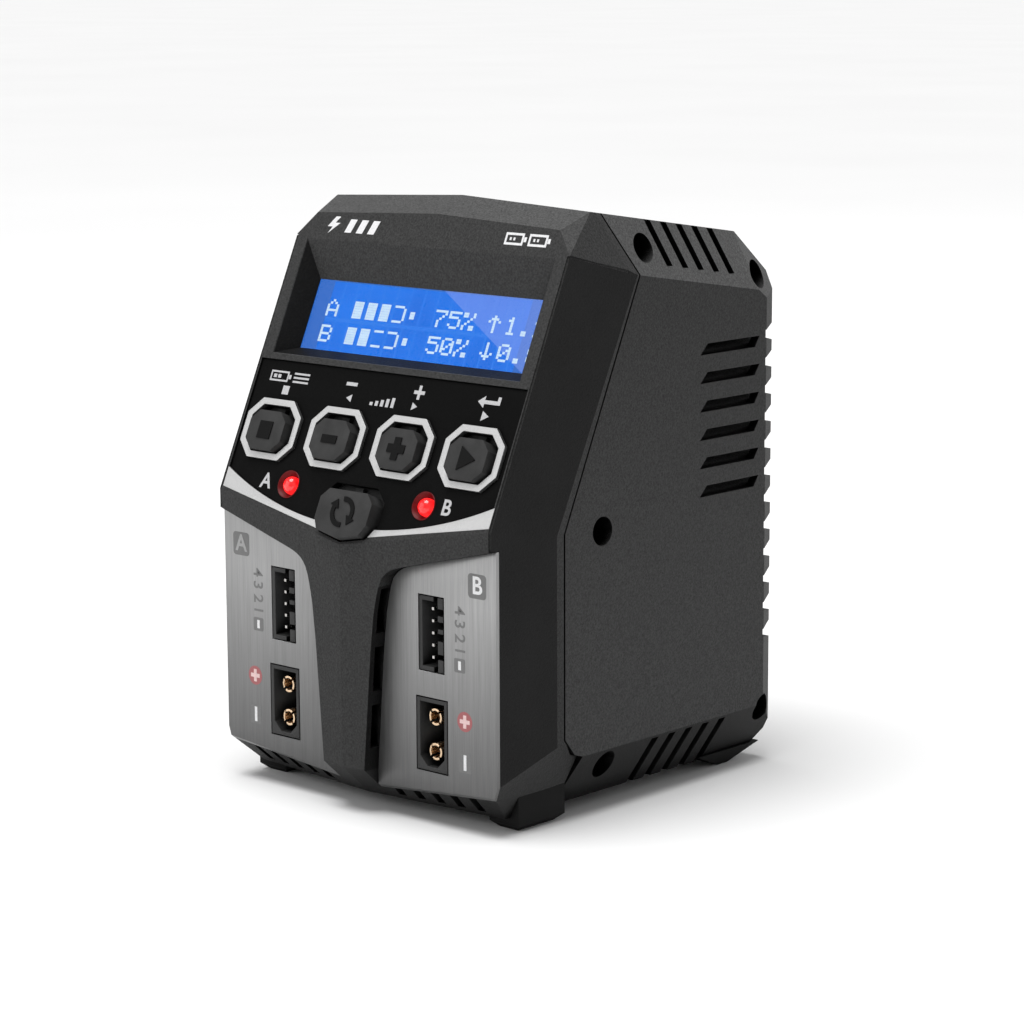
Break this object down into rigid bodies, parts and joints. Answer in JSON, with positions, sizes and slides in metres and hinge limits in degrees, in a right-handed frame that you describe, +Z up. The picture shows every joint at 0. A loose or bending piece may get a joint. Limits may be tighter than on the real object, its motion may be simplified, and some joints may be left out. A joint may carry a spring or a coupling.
{
  "type": "balance battery charger",
  "caption": "Desktop twin-channel balance charger for model batteries: faceted vented case, lit display, push buttons, balance and power sockets on brushed front plates.",
  "frame": {"origin": "centre of the footprint box, on the table under the feet", "axes": "+Z up, +Y towards the back, +X to the right seen from the front"},
  "size_m": [0.082, 0.0938, 0.1248],
  "materials": {
    "board_green": "solder mask with tracks",
    "brushed_plate": "upright brushing",
    "button_rubber": "satin black",
    "capacitor_sleeve": "dark sleeve",
    "case_plastic": "fine spark-eroded grain, dark grey",
    "clear_lens": "clear flat window",
    "contact_gold": "gold plated",
    "core_ferrite": "dull dark ferrite",
    "display_blue": "lit blue display with light dots",
    "fan_black": "moulded black",
    "foot_rubber": "matt black",
    "frame_white": "white moulded light guide",
    "fuse_glass": "glass tube",
    "heat_aluminium": "extruded, plain",
    "label_film": "satin black film with light print",
    "light_red": "translucent red lens",
    "part_black": "moulded black resin",
    "pin_tin": "bright tin plating",
    "screw_steel": "blackened steel",
    "silver_trim": "satin silver",
    "socket_black": "moulded black nylon",
    "winding_tape": "yellow polyester tape"
  },
  "bodies": {
    "case": {"balance_pins_a": "pin_tin", "balance_pins_b": "pin_tin", "balance_socket_a": "socket_black", "balance_socket_b": "socket_black", "board_screws": "screw_steel", "body_shell_left": "case_plastic", "body_shell_right": "case_plastic", "bulk_capacitor": "capacitor_sleeve", "button_ring_dec": "silver_trim", "button_ring_inc": "silver_trim", "button_ring_start": "silver_trim", "button_ring_stop": "silver_trim", "buzzer": "part_black", "case_screws": "screw_steel", "control_board": "board_green", "control_screws": "screw_steel", "display_backlight": "frame_white", "display_frame": "part_black", "display_panel": "display_blue", "display_window": "clear_lens", "fan_frame": "fan_black", "fan_screws": "screw_steel", "foot_front_left": "foot_rubber", "foot_front_right": "foot_rubber", "foot_rear_left": "foot_rubber", "foot_rear_right": "foot_rubber", "front_shell": "case_plastic", "fuse": "fuse_glass", "heat_sink": "heat_aluminium", "indicator_light_a": "light_red", "indicator_light_b": "light_red", "inductors": "core_ferrite", "inlet_pins": "pin_tin", "key_switches": "part_black", "keypad_label": "label_film", "main_board": "board_green", "mains_inlet": "socket_black", "output_board": "board_green", "output_capacitors": "capacitor_sleeve", "output_plate_a": "brushed_plate", "output_plate_b": "brushed_plate", "output_screws": "screw_steel", "power_contacts_a": "contact_gold", "power_contacts_b": "contact_gold", "power_socket_a": "socket_black", "power_socket_b": "socket_black", "power_transistors": "part_black", "transformer_core": "core_ferrite", "transformer_winding": "winding_tape", "trim_strip_left": "silver_trim", "trim_strip_right": "silver_trim"},
    "button_stop": {"button_stop": "button_rubber"},
    "button_dec": {"button_dec": "button_rubber"},
    "button_inc": {"button_inc": "button_rubber"},
    "button_start": {"button_start": "button_rubber"},
    "button_channel": {"button_channel": "button_rubber"},
    "fan": {"fan_rotor": "fan_black"}
  },
  "joints": [
    {"name": "press_stop", "type": "slide", "parent": "case", "child": "button_stop", "axis": [0, 0.9109, -0.4127], "range_m": [0, 0.0006], "stiffness_N_per_m": 300},
    {"name": "press_dec", "type": "slide", "parent": "case", "child": "button_dec", "axis": [0, 0.9109, -0.4127], "range_m": [0, 0.0006], "stiffness_N_per_m": 300},
    {"name": "press_inc", "type": "slide", "parent": "case", "child": "button_inc", "axis": [0, 0.9109, -0.4127], "range_m": [0, 0.0006], "stiffness_N_per_m": 300},
    {"name": "press_start", "type": "slide", "parent": "case", "child": "button_start", "axis": [0, 0.9109, -0.4127], "range_m": [0, 0.0006], "stiffness_N_per_m": 300},
    {"name": "press_channel", "type": "slide", "parent": "case", "child": "button_channel", "axis": [0, 0.9109, -0.4127], "range_m": [0, 0.0006], "stiffness_N_per_m": 300},
    {"name": "fan_spin", "type": "hinge", "parent": "case", "child": "fan", "pos_m": [0, 0.03289, 0.061], "axis": [0, 1, 0], "continuous": true}
  ]
}
